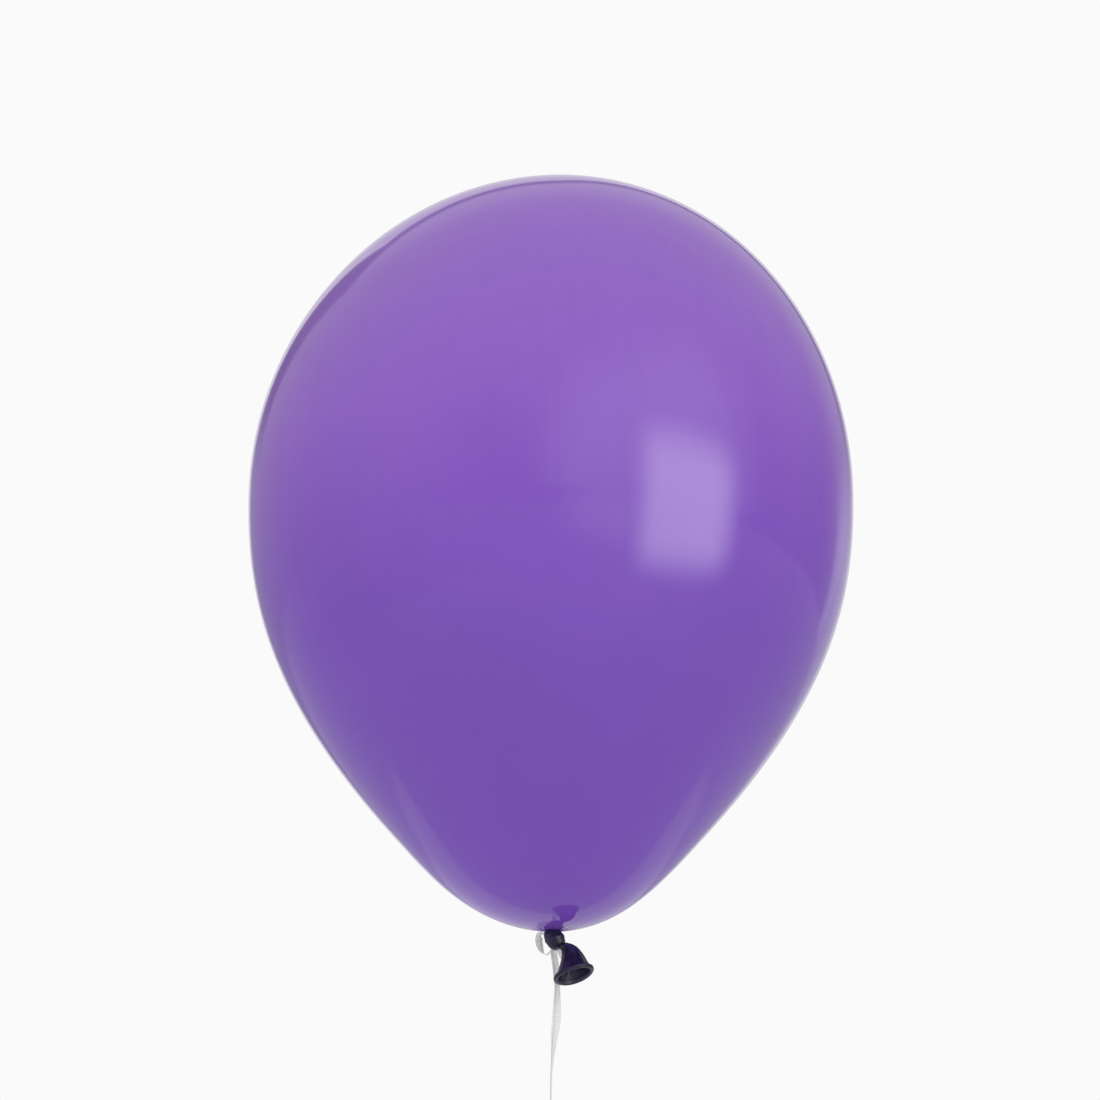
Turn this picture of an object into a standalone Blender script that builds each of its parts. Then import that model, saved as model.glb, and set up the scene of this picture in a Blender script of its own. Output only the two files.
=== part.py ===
"""Latex party balloon, blown up, tied off at its neck and tethered on a curling ribbon.

Metres, +Z up.  The frame's origin is the inside of the hand loop's lowest point, where a
finger or a hook holds the ribbon.  The balloon floats straight above it, and its knot and
mouth face -Y.
"""
import math

import bmesh
import bpy
from mathutils import Matrix, Vector
from mathutils.geometry import interpolate_bezier

# ---- blown body -----------------------------------------------------------------------
BODY_RADIUS = 0.150          # widest part
BASE_Z = 0.147               # lowest point of the blown body
EQUATOR_Z = BASE_Z + 0.2137  # height of the widest part
CROWN_RISE = 0.1638          # from the widest part up to the crown
BODY_X = -0.0011             # turning axis of the body
SKIN_WALL = 0.0003           # modelled wall of the stretched skin
BODY_LEAN = 0.0019           # sideways drift of the whole body, base to crown
CROWN_SWAY = 0.0040          # extra sideways drift of the crown, towards +X
BASE_SWAY = 0.0018           # sideways drift of the base towards the neck
BASE_SWAY_RISE = 0.030       # height over which the base drift fades out

EQUATOR_PULL = 0.0483        # handle below the widest part
FLANK_RADIUS = 0.0757        # point where the straight flank turns into the base
FLANK_Z = EQUATOR_Z - 0.1675
FLANK_ANGLE = math.radians(42.4)   # of the flank, from the vertical
FLANK_PULL_UP = 0.0951
FLANK_PULL_DOWN = 0.0270
BASE_PULL = 0.0354           # handle beside the base
CROWN_POINTS = 13            # points of the outer line's three Bezier stretches
FLANK_POINTS = 12
BASE_POINTS = 9
NECK_HOLE_RADIUS = 0.0033    # where the body opens into its neck
NECK_HOLE_RISE = 0.0001      # height of the hole's edge above the base
NECK_HOLE_MARGIN = 0.002     # free of outer line points round the hole

# ---- knotted neck ---------------------------------------------------------------------
NECK_X = 0.0008
TOUCH_GAP = 0.0003           # between pieces that touch
COLLAR_RADIUS = 0.0042
COLLAR_HEIGHT = 0.0016
STEM_RADIUS = 0.0024
STEM_LOW_RADIUS = 0.00235    # the stem's foot, inside the knot
STEM_TOP = 0.0010            # below the collar's top face
STEM_DEPTH = 0.0030
KNOT_CENTRE = Vector((0.0030, -0.0016, 0.1413))
KNOT_AXIS = Vector((0.47, -0.16, -0.87)).normalized()
KNOT_RADIUS = 0.0043
KNOT_HALF_LENGTH = 0.0047
KNOT_SHOULDER = 0.0022       # rounding of the knot's ends
SHOULDER_TURN = 18           # degrees between the points of that rounding

# ---- mouth ----------------------------------------------------------------------------
WAIST = Vector((0.0066, -0.0030, 0.1390))
LIP_CENTRE = Vector((0.0110, -0.0072, 0.1256))
MOUTH_WALL = 0.0005
LIP_BEAD_RADIUS = 0.0012
LIP_RADIUS = 0.0090
MOUTH_BOW = 0.0020           # sideways bow of the funnel, towards +X
# radius of the funnel at equal steps from the waist to the lip
FUNNEL_RADII = (0.0029, 0.0036, 0.0044, 0.0053, 0.0062, 0.0071, 0.0081, LIP_RADIUS)

# ---- ribbon ---------------------------------------------------------------------------
RIBBON_WIDTH = 0.0048
RIBBON_WALL = 0.0003         # modelled thickness of the film
STRAND_RADIUS = 0.0005       # the ribbon where it is drawn tight into a strand
RIBBON_STEP = 0.003          # between stations of the straight run
LOOP_STEP = 0.001            # of the side loop
TAIL_STEP = 0.0015
STRAND_STEP = 0.00125
TIE_KNOT_CENTRE = Vector((0.0010, 0.0041, 0.1402))
TIE_KNOT_RADII = Vector((0.0017, 0.0014, 0.0015))

# Routes of the ribbon: x, y, z in metres, then the way that the film's width points, in
# degrees about +Z from +X.
RUN_ROUTE = (
    (0.0012, 0.0042, 0.1383, 45), (0.0015, 0.0042, 0.1357, 46), (0.0022, 0.0042, 0.1308, 48),
    (0.0026, 0.0044, 0.1259, 52), (0.0030, 0.0044, 0.1206, 56), (0.0030, 0.0041, 0.1172, 52),
    (0.0029, 0.0037, 0.1137, 45), (0.0027, 0.0030, 0.1064, 33), (0.0023, 0.0024, 0.1015, 34),
    (0.0017, 0.0019, 0.0965, 46), (0.0012, 0.0015, 0.0918, 61), (0.0006, 0.0010, 0.0845, 75),
    (0.0002, 0.0005, 0.0773, 82), (0.0000, 0.0002, 0.0652, 84), (0.0000, 0.0000, 0.0535, 90),
)
SIDE_LOOP_ROUTE = (
    (-0.0025, 0.0038, 0.1458, 88), (-0.0041, 0.0034, 0.1459, 70), (-0.0053, 0.0030, 0.1451, 50),
    (-0.0058, 0.0028, 0.1434, 42), (-0.0056, 0.0029, 0.1408, 44), (-0.0048, 0.0032, 0.1384, 54),
    (-0.0035, 0.0036, 0.1366, 70), (-0.0019, 0.0041, 0.1360, 84), (-0.0007, 0.0043, 0.1372, 90),
)
TAIL_ROUTE = (
    (0.0031, 0.0055, 0.1388, 60), (0.0045, 0.0056, 0.1371, 50), (0.0062, 0.0057, 0.1347, 40),
    (0.0078, 0.0058, 0.1317, 30), (0.0086, 0.0062, 0.1283, 48),
)
NECK_TIE_ROUTE = (
    (-0.0024, -0.0012, 0.1450), (-0.0031, 0.0006, 0.1450), (-0.0022, 0.0025, 0.1449),
    (-0.0004, 0.0036, 0.1446), (0.0014, 0.0040, 0.1435), (0.0014, 0.0041, 0.1421),
)

# ---- hand loop ------------------------------------------------------------------------
HAND_LOOP_DROP = 0.0465      # from the loop's knot down to its inside bottom
HAND_LOOP_HALF_WIDTH = 0.0115
HAND_LOOP_STEPS = 40
HAND_LOOP_START = math.radians(22)   # how far round from its knot the loop starts
HAND_LOOP_POINTEDNESS = 0.6  # how strongly the loop's sides draw in towards its knot
HAND_KNOT_RADII = Vector((0.0021, 0.0021, 0.0030))
HAND_KNOT_Z = 0.0500

BODY_STEPS = 56              # facets round the blown body
KNOT_STEPS = 24
MERGE = 0.00001

FUNNEL_SIDES = 6             # bevel resolution of the funnel's round section
BEAD_STEPS = 32
BEAD_SIDES = 10
STRAND_SIDES = 2
LUMP_SEGMENTS = 16
LUMP_RINGS = 10

COLLECTION = "latex_balloon_on_ribbon"
CUTTERS = "cutters"


def clear_scene():
    """Empty the scene of whatever stands in it."""
    for item in list(bpy.data.objects):
        bpy.data.objects.remove(item, do_unlink=True)


def make_collection(name):
    """A collection of that name, linked to the scene."""
    group = bpy.data.collections.new(name)
    bpy.context.scene.collection.children.link(group)
    return group


def make_material(name, colour, roughness, metallic=0.0):
    """A plain Principled material."""
    material = bpy.data.materials.new(name)
    material.use_nodes = True
    shader = material.node_tree.nodes["Principled BSDF"]
    shader.inputs["Base Color"].default_value = (*colour, 1.0)
    shader.inputs["Roughness"].default_value = roughness
    shader.inputs["Metallic"].default_value = metallic
    material.diffuse_color = (*colour, 1.0)
    return material


def add_object(name, mesh, group, material=None):
    """An object on that mesh, in that collection."""
    item = bpy.data.objects.new(name, mesh)
    group.objects.link(item)
    if material:
        mesh.materials.append(material)
    return item


def mesh_from(shape, name):
    """A mesh made from a bmesh, which is freed."""
    mesh = bpy.data.meshes.new(name)
    shape.to_mesh(mesh)
    shape.free()
    mesh.shade_smooth()
    return mesh


def evaluated_mesh(item, name):
    """The item's mesh with its modifiers, as a new mesh in world space; the item goes."""
    bpy.context.view_layer.update()
    graph = bpy.context.evaluated_depsgraph_get()
    mesh = bpy.data.meshes.new_from_object(item.evaluated_get(graph))
    mesh.transform(item.matrix_world)
    mesh.name = name
    bpy.data.objects.remove(item, do_unlink=True)
    shape = bmesh.new()
    shape.from_mesh(mesh)
    bmesh.ops.remove_doubles(shape, verts=shape.verts, dist=MERGE)
    shape.to_mesh(mesh)
    shape.free()
    mesh.shade_smooth()
    return mesh


def profile_object(name, points, group):
    """A chain of edges through (radius, height) points on the +X side."""
    shape = bmesh.new()
    corners = [shape.verts.new((radius, 0.0, height)) for radius, height in points]
    for first, second in zip(corners, corners[1:]):
        shape.edges.new((first, second))
    return add_object(name, mesh_from(shape, name), group)


def turn(item, steps):
    """Turn the item's profile once about its own Z axis."""
    screw = item.modifiers.new("turned", "SCREW")
    screw.axis = "Z"
    screw.angle = 2.0 * math.pi
    screw.steps = steps
    screw.render_steps = steps
    screw.use_merge_vertices = True
    screw.merge_threshold = MERGE
    screw.use_smooth_shade = True


def bezier(start, start_handle, end_handle, end, count):
    """Points of one Bezier stretch, without its last point."""
    corners = [Vector((*place, 0.0)) for place in (start, start_handle, end_handle, end)]
    return [tuple(point[:2]) for point in interpolate_bezier(*corners, count)][:-1]


# ---- blown body -----------------------------------------------------------------------
def body_profile():
    """The outer line of the blown body, crown to neck hole."""
    round_pull = 4.0 / 3.0 * (math.sqrt(2.0) - 1.0)
    crown = (0.0, EQUATOR_Z + CROWN_RISE)
    equator = (BODY_RADIUS, EQUATOR_Z)
    flank = (FLANK_RADIUS, FLANK_Z)
    slope = (-math.sin(FLANK_ANGLE), -math.cos(FLANK_ANGLE))
    above = (flank[0] - slope[0] * FLANK_PULL_UP, flank[1] - slope[1] * FLANK_PULL_UP)
    below = (flank[0] + slope[0] * FLANK_PULL_DOWN, flank[1] + slope[1] * FLANK_PULL_DOWN)
    points = bezier(
        crown,
        (BODY_RADIUS * round_pull, crown[1]),
        (BODY_RADIUS, EQUATOR_Z + CROWN_RISE * round_pull),
        equator,
        CROWN_POINTS,
    )
    below_equator = (BODY_RADIUS, EQUATOR_Z - EQUATOR_PULL)
    points += bezier(equator, below_equator, above, flank, FLANK_POINTS)
    points += bezier(flank, below, (BASE_PULL, BASE_Z), (0.0, BASE_Z), BASE_POINTS)
    clear_of_hole = NECK_HOLE_RADIUS + NECK_HOLE_MARGIN
    kept = [point for point in points if point[0] > clear_of_hole or point[1] > EQUATOR_Z]
    return kept + [(NECK_HOLE_RADIUS, BASE_Z + NECK_HOLE_RISE)]


def body_sway(height):
    """How far the body stands off its turning axis at a height."""
    sway = BODY_LEAN * (height - BASE_Z) / (EQUATOR_Z + CROWN_RISE - BASE_Z)
    if height > EQUATOR_Z:
        sway += CROWN_SWAY * ((height - EQUATOR_Z) / CROWN_RISE) ** 2
    fade = max(0.0, 1.0 - (height - BASE_Z) / BASE_SWAY_RISE)
    return sway + BASE_SWAY * fade**2


def make_skin(group, material):
    """The stretched skin: a thin shell, open where it runs into the neck."""
    turned = profile_object("skin_profile", body_profile(), group)
    turn(turned, BODY_STEPS)
    mesh = evaluated_mesh(turned, "balloon_skin")
    for corner in mesh.vertices:
        corner.co.x += BODY_X + body_sway(corner.co.z)
    item = add_object("balloon_skin", mesh, group, material)
    wall = item.modifiers.new("wall", "SOLIDIFY")
    wall.thickness = SKIN_WALL
    wall.offset = -1.0
    wall.use_even_offset = True
    return item


# ---- knotted neck ---------------------------------------------------------------------
def aim(centre, direction):
    """A matrix that stands at the centre with its -Z along the direction."""
    turned = (-direction).to_track_quat("Z", "X").to_matrix().to_4x4()
    return Matrix.Translation(centre) @ turned


def barrel_profile(radius, half_length, rounding):
    """A closed barrel's outer line, top pole to bottom pole, with rounded ends."""
    points = [(0.0, half_length)]
    for turned in range(0, 91, SHOULDER_TURN):
        angle = math.radians(turned)
        points.append((
            radius - rounding + rounding * math.sin(angle),
            half_length - rounding + rounding * math.cos(angle),
        ))
    return points + [(spread, -height) for spread, height in reversed(points)]


def make_knot(group, cutters, material):
    """The overhand knot: a round lump under a collar that closes the body's neck hole."""
    collar_shape = bmesh.new()
    top = BASE_Z - TOUCH_GAP
    bmesh.ops.create_cone(
        collar_shape, cap_ends=True, segments=KNOT_STEPS, radius1=STEM_RADIUS,
        radius2=COLLAR_RADIUS, depth=COLLAR_HEIGHT,
        matrix=Matrix.Translation((NECK_X, 0.0, top - COLLAR_HEIGHT / 2.0)),
    )
    stem_shape = bmesh.new()
    bmesh.ops.create_cone(
        stem_shape, cap_ends=True, segments=KNOT_STEPS, radius1=STEM_LOW_RADIUS,
        radius2=STEM_RADIUS, depth=STEM_DEPTH,
        matrix=Matrix.Translation((NECK_X, 0.0, top - STEM_TOP - STEM_DEPTH / 2.0)),
    )
    lump = profile_object(
        "neck_knot", barrel_profile(KNOT_RADIUS, KNOT_HALF_LENGTH, KNOT_SHOULDER), group)
    turn(lump, KNOT_STEPS)
    lump.matrix_world = aim(KNOT_CENTRE, KNOT_AXIS)
    lump.data.materials.append(material)
    for name, shape in (("collar", collar_shape), ("stem", stem_shape)):
        piece = add_object(name, mesh_from(shape, name), cutters)
        hide(piece)
        join = lump.modifiers.new(name, "BOOLEAN")
        join.operation = "UNION"
        join.solver = "EXACT"
        join.object = piece
    return lump


def hide(item):
    """Mark an item as a cutter."""
    item.hide_render = True
    item.display_type = "WIRE"


# ---- mouth ----------------------------------------------------------------------------
def funnel_surface(group):
    """The funnel's mid surface, open at both ends and bowed sideways."""
    curve = bpy.data.curves.new("funnel", "CURVE")
    curve.dimensions = "3D"
    curve.bevel_depth = 1.0
    curve.bevel_resolution = FUNNEL_SIDES
    curve.use_fill_caps = False
    spine = curve.splines.new("POLY")
    last = len(FUNNEL_RADII) - 1
    spine.points.add(last)
    for index, radius in enumerate(FUNNEL_RADII):
        spine.points[index].co = (*WAIST.lerp(LIP_CENTRE, index / last), 1.0)
        spine.points[index].radius = radius - MOUTH_WALL / 2.0
    funnel = bpy.data.objects.new("funnel", curve)
    group.objects.link(funnel)
    mesh = evaluated_mesh(funnel, "mouth_funnel")
    axis = LIP_CENTRE - WAIST
    for corner in mesh.vertices:
        share = (corner.co - WAIST).dot(axis) / axis.length_squared
        corner.co.x += MOUTH_BOW * math.sin(math.pi * math.sqrt(min(max(share, 0.0), 1.0)))
    return mesh


def make_mouth(group, cutters, material):
    """The free end of the neck below the knot: a thin funnel with a rolled lip."""
    item = add_object("mouth_funnel", funnel_surface(group), group, material)
    wall = item.modifiers.new("wall", "SOLIDIFY")
    wall.thickness = MOUTH_WALL
    wall.offset = 0.0
    wall.use_even_offset = True

    bpy.ops.mesh.primitive_torus_add(
        major_radius=LIP_RADIUS, minor_radius=LIP_BEAD_RADIUS,
        major_segments=BEAD_STEPS, minor_segments=BEAD_SIDES,
    )
    bead = bpy.context.active_object
    bead.name = "lip_bead"
    for owner in list(bead.users_collection):
        owner.objects.unlink(bead)
    cutters.objects.link(bead)
    bead.matrix_world = aim(LIP_CENTRE, (LIP_CENTRE - WAIST).normalized())
    hide(bead)
    roll = item.modifiers.new("rolled lip", "BOOLEAN")
    roll.operation = "UNION"
    roll.solver = "EXACT"
    roll.object = bead

    room = profile_object(
        "knot_room",
        barrel_profile(KNOT_RADIUS + TOUCH_GAP, KNOT_HALF_LENGTH + TOUCH_GAP, KNOT_SHOULDER),
        cutters,
    )
    turn(room, KNOT_STEPS)
    room.matrix_world = aim(KNOT_CENTRE, KNOT_AXIS)
    hide(room)
    cut = item.modifiers.new("room for the knot", "BOOLEAN")
    cut.operation = "DIFFERENCE"
    cut.solver = "EXACT"
    cut.object = room
    return item


# ---- ribbon ---------------------------------------------------------------------------
def smooth_route(rows, step):
    """Rows read every step from the smooth curve through the given rows."""
    padded = [rows[0], *rows, rows[-1]]
    result = []
    for before, start, end, after in zip(padded, padded[1:], padded[2:], padded[3:]):
        length = math.dist(start[:3], end[:3])
        count = max(1, round(length / step))
        for index in range(count):
            share = index / count
            result.append(tuple(
                0.5 * (2.0 * p1 + (p2 - p0) * share
                       + (2.0 * p0 - 5.0 * p1 + 4.0 * p2 - p3) * share**2
                       + (3.0 * p1 - p0 - 3.0 * p2 + p3) * share**3)
                for p0, p1, p2, p3 in zip(before, start, end, after)
            ))
    return result + [tuple(rows[-1])]


def strip_stations(rows):
    """Centre and half-width vector of the film at each row."""
    places = [Vector(row[:3]) for row in rows]
    stations = []
    for index, row in enumerate(rows):
        ahead = places[min(index + 1, len(places) - 1)] - places[max(index - 1, 0)]
        across = Vector((math.cos(math.radians(row[3])), math.sin(math.radians(row[3])), 0.0))
        across -= ahead * (across.dot(ahead) / ahead.length_squared)
        stations.append((places[index], across.normalized() * RIBBON_WIDTH / 2.0))
    return stations


def make_strip(name, rows, group, material):
    """A stretch of flat ribbon along the rows: an open strip given its thickness."""
    stations = strip_stations(rows)
    shape = bmesh.new()
    centre, half = stations[0]
    edge = shape.edges.new((shape.verts.new(centre - half), shape.verts.new(centre + half)))
    for centre, half in stations[1:]:
        grown = bmesh.ops.extrude_edge_only(shape, edges=[edge])["geom"]
        edge = next(part for part in grown if isinstance(part, bmesh.types.BMEdge)
                    and all(corner in grown for corner in part.verts))
        left, right = edge.verts
        left.co, right.co = centre - half, centre + half
    item = add_object(name, mesh_from(shape, name), group, material)
    wall = item.modifiers.new("film", "SOLIDIFY")
    wall.thickness = RIBBON_WALL
    wall.offset = 0.0
    return item


def make_strand(name, rows, group, material):
    """The ribbon where it is drawn into a round strand."""
    curve = bpy.data.curves.new(name, "CURVE")
    curve.dimensions = "3D"
    curve.bevel_depth = STRAND_RADIUS
    curve.bevel_resolution = STRAND_SIDES
    curve.use_fill_caps = True
    points = smooth_route(rows, STRAND_STEP)
    spine = curve.splines.new("POLY")
    spine.points.add(len(points) - 1)
    for point, place in zip(spine.points, points):
        point.co = (*place, 1.0)
    curve.materials.append(material)
    item = bpy.data.objects.new(name, curve)
    group.objects.link(item)
    return item


def make_lump(name, centre, radii, group, material):
    """A small tight knot of ribbon."""
    shape = bmesh.new()
    bmesh.ops.create_uvsphere(
        shape, u_segments=LUMP_SEGMENTS, v_segments=LUMP_RINGS, radius=1.0)
    bmesh.ops.scale(shape, vec=radii, verts=shape.verts)
    item = add_object(name, mesh_from(shape, name), group, material)
    item.location = centre
    return item


def hand_loop_rows():
    """The loop's route: down one side from its knot, round its bottom and up the other."""
    rows = []
    for index in range(HAND_LOOP_STEPS + 1):
        angle = HAND_LOOP_START + 2.0 * (math.pi - HAND_LOOP_START) * index / HAND_LOOP_STEPS
        narrowing = (1.0 - math.cos(angle)) / 2.0
        rows.append((
            HAND_LOOP_HALF_WIDTH * math.sin(angle) * narrowing**HAND_LOOP_POINTEDNESS,
            0.0,
            HAND_LOOP_DROP * (1.0 + math.cos(angle)) / 2.0 - RIBBON_WALL / 2.0,
            90,
        ))
    return rows


def make_ribbon(group, material):
    """Every stretch of the ribbon, from the balloon's neck down to the hand loop."""
    make_strand("ribbon_neck_tie", NECK_TIE_ROUTE, group, material)
    make_lump("ribbon_tie_knot", TIE_KNOT_CENTRE, TIE_KNOT_RADII, group, material)
    make_strip("ribbon_side_loop", smooth_route(SIDE_LOOP_ROUTE, LOOP_STEP), group, material)
    make_strip("ribbon_tail", smooth_route(TAIL_ROUTE, TAIL_STEP), group, material)
    make_strip("ribbon_run", smooth_route(RUN_ROUTE, RIBBON_STEP), group, material)
    make_lump("hand_loop_knot", Vector((0.0, 0.0, HAND_KNOT_Z)), HAND_KNOT_RADII, group, material)
    make_strip("hand_loop", hand_loop_rows(), group, material)


def main():
    clear_scene()
    group = make_collection(COLLECTION)
    cutters = make_collection(CUTTERS)
    stretched = make_material("stretched_latex", (0.20, 0.09, 0.50), 0.22)
    slack = make_material("slack_latex", (0.025, 0.012, 0.07), 0.35)
    film = make_material("ribbon_film", (0.80, 0.80, 0.80), 0.35)
    make_skin(group, stretched)
    make_knot(group, cutters, slack)
    make_mouth(group, cutters, slack)
    make_ribbon(group, film)


main()
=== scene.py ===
"""Looks of a latex party balloon, blown up, knotted and tethered on a curling ribbon.

Metres, +Z up.  The origin is the inside of the hand loop's lowest point.
"""
import logging
import math
from collections.abc import Mapping, Sequence
from dataclasses import dataclass
from enum import Enum
from typing import Any

import bmesh
import bpy
from mathutils import Matrix, Vector
from mathutils.geometry import interpolate_bezier

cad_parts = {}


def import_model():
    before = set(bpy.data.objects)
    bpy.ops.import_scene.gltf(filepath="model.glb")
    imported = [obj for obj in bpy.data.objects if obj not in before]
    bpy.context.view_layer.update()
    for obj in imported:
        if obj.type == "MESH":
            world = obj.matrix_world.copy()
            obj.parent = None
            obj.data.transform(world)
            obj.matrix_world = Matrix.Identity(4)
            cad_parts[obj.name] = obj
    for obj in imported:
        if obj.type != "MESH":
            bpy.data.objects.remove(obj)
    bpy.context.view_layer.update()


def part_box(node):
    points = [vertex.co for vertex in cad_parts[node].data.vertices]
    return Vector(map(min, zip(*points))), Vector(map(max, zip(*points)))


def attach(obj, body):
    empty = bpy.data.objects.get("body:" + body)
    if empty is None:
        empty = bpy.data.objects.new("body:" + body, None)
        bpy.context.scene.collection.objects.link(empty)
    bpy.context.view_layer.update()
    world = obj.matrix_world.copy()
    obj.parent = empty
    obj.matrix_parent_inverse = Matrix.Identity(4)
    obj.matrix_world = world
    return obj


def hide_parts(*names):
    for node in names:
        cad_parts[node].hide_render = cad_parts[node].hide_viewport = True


LOG = logging.getLogger("balloon")
BODY = "root"
WELD = 0.000002
FULL_TURN = 2.0 * math.pi

Outline = list[tuple[float, float]]
Row = tuple[float, ...]
Colour = tuple[float, float, float]

WHITE: Colour = (1.0, 1.0, 1.0)
BLACK: Colour = (0.0, 0.0, 0.0)


class Slot(Enum):
    """The record's material slots."""

    STRETCHED = "stretched_latex"
    SLACK = "slack_latex"
    FILM = "ribbon_film"


# ---- shader building ------------------------------------------------------------------
class Signal:
    """A number that runs through a shader, with plain arithmetic on it."""

    def __init__(self, graph: "Graph", socket: bpy.types.NodeSocket) -> None:
        """Wrap an output socket.

        Args:
            graph: the shader that the socket belongs to.
            socket: the output that carries the number.
        """
        self.graph = graph
        self.socket = socket

    def _math(self, operation: str, first: Any, second: Any = None) -> "Signal":
        """One Math node on two numbers or signals.

        Args:
            operation: the Math node's operation.
            first: its first value.
            second: its second value, where it has one.

        Returns:
            The result.
        """
        values = {0: first} if second is None else {0: first, 1: second}
        return self.graph.node("ShaderNodeMath", {"operation": operation}, values)

    def __add__(self, other: Any) -> "Signal":
        """This plus the other."""
        return self._math("ADD", self, other)

    __radd__ = __add__

    def __sub__(self, other: Any) -> "Signal":
        """This minus the other."""
        return self._math("SUBTRACT", self, other)

    def __rsub__(self, other: Any) -> "Signal":
        """The other minus this."""
        return self._math("SUBTRACT", other, self)

    def __mul__(self, other: Any) -> "Signal":
        """This times the other."""
        return self._math("MULTIPLY", self, other)

    __rmul__ = __mul__

    def __truediv__(self, other: Any) -> "Signal":
        """This over the other."""
        return self._math("DIVIDE", self, other)

    def sine(self) -> "Signal":
        """The sine of this."""
        return self._math("SINE", self)

    def positive(self) -> "Signal":
        """This where it is above 0, else 0."""
        return self._math("MAXIMUM", self, 0.0)

    def ease(self, low: float, high: float) -> "Signal":
        """This eased from 0 at low to 1 at high.

        Args:
            low: where the result starts to leave 0.
            high: where it reaches 1; below low, the result falls instead.

        Returns:
            The eased signal, from 0 to 1.
        """
        return self.graph.node(
            "ShaderNodeMapRange",
            {"interpolation_type": "SMOOTHSTEP", "clamp": True},
            {"Value": self, "From Min": low, "From Max": high},
        )


class Graph:
    """A node tree that is written as expressions."""

    def __init__(self, tree: bpy.types.NodeTree) -> None:
        """Start from an empty tree.

        Args:
            tree: the node tree of a material or a world.
        """
        self.tree = tree
        tree.nodes.clear()

    def node(
        self,
        kind: str,
        settings: Mapping[str, Any] | None = None,
        values: Mapping[str | int, Any] | None = None,
        output: str | int = 0,
    ) -> Signal:
        """Add one node.

        Args:
            kind: the node's type.
            settings: properties of the node, and a ramp's stops under "stops".
            values: numbers, colours or signals for its input sockets.
            output: the output to hand on.

        Returns:
            That output.
        """
        made = self.tree.nodes.new(kind)
        for name, value in (settings or {}).items():
            if name == "stops":
                self._fill_ramp(made.color_ramp, value)
            else:
                setattr(made, name, value)
        for name, value in (values or {}).items():
            if isinstance(value, Signal):
                self.tree.links.new(value.socket, made.inputs[name])
            elif isinstance(value, tuple) and len(value) == 3 and made.inputs[name].type == "RGBA":
                made.inputs[name].default_value = (*value, 1.0)
            else:
                made.inputs[name].default_value = value
        return Signal(self, made.outputs[output] if made.outputs else None)

    @staticmethod
    def _fill_ramp(ramp: bpy.types.ColorRamp, stops: Sequence[tuple[float, Colour]]) -> None:
        """Give a ramp its stops.

        Args:
            ramp: the ramp, with the two stops that it starts with.
            stops: place and colour of each stop, in order.
        """
        for index, (place, colour) in enumerate(stops):
            stop = ramp.elements[index] if index < 2 else ramp.elements.new(place)
            stop.position = place
            stop.color = (*colour, 1.0)

    def place(self) -> tuple[Signal, Signal]:
        """The point on the piece.

        Returns:
            The point as a vector, and its height.
        """
        point = self.node("ShaderNodeTexCoord", output="Object")
        return point, self.node("ShaderNodeSeparateXYZ", None, {0: point}, "Z")

    def distance(self, point: Signal, centre: Vector) -> Signal:
        """How far the point is from a centre.

        Args:
            point: the point on the piece.
            centre: the fixed centre.

        Returns:
            The distance in metres.
        """
        return self.node(
            "ShaderNodeVectorMath", {"operation": "DISTANCE"}, {0: point, 1: tuple(centre)}, "Value"
        )

    def noise(self, point: Signal, scale: float, detail: float = 2.0) -> Signal:
        """Soft noise about 0.5.

        Args:
            point: where it is read.
            scale: cells per metre.
            detail: how many finer layers it has.

        Returns:
            The noise.
        """
        return self.node("ShaderNodeTexNoise", None, {"Vector": point, "Scale": scale, "Detail": detail})

    def stretched(self, point: Signal, scale: Colour) -> Signal:
        """The point with each axis scaled.

        Args:
            point: the point on the piece.
            scale: factor of each axis.

        Returns:
            The scaled point.
        """
        return self.node("ShaderNodeMapping", None, {"Vector": point, "Scale": scale})

    def attribute(self, name: str) -> Signal:
        """A number stored on the piece's own mesh.

        Args:
            name: the attribute's name.

        Returns:
            Its value.
        """
        return self.node("ShaderNodeAttribute", {"attribute_name": name}, None, "Fac")

    def blend(self, share: Any, first: Any, second: Any) -> Signal:
        """A colour between two colours.

        Args:
            share: 0 for the first, 1 for the second.
            first: a colour or a signal.
            second: a colour or a signal.

        Returns:
            The colour.
        """
        return self.node(
            "ShaderNodeMix", {"data_type": "RGBA"}, {0: share, 6: first, 7: second}, output=2
        )

    def bump(self, height: Signal, depth: float) -> Signal:
        """A normal tilted by a height pattern.

        Args:
            height: the pattern, from 0 to 1.
            depth: what 1 is worth, in metres.

        Returns:
            The normal.
        """
        return self.node("ShaderNodeBump", None, {"Strength": 1.0, "Distance": depth, "Height": height})

    def surface(self, shader: Signal) -> None:
        """Hand a shader to the tree's output.

        Args:
            shader: the finished shader.
        """
        world = isinstance(self.tree.id_data, bpy.types.World)
        kind = "ShaderNodeOutputWorld" if world else "ShaderNodeOutputMaterial"
        self.node(kind, None, {"Surface": shader})


def new_material(name: str) -> tuple[bpy.types.Material, Graph]:
    """An empty material and the graph to write it with.

    Args:
        name: the material's name.

    Returns:
        The material and its graph.
    """
    made = bpy.data.materials.new(name)
    made.use_nodes = True
    return made, Graph(made.node_tree)


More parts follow.
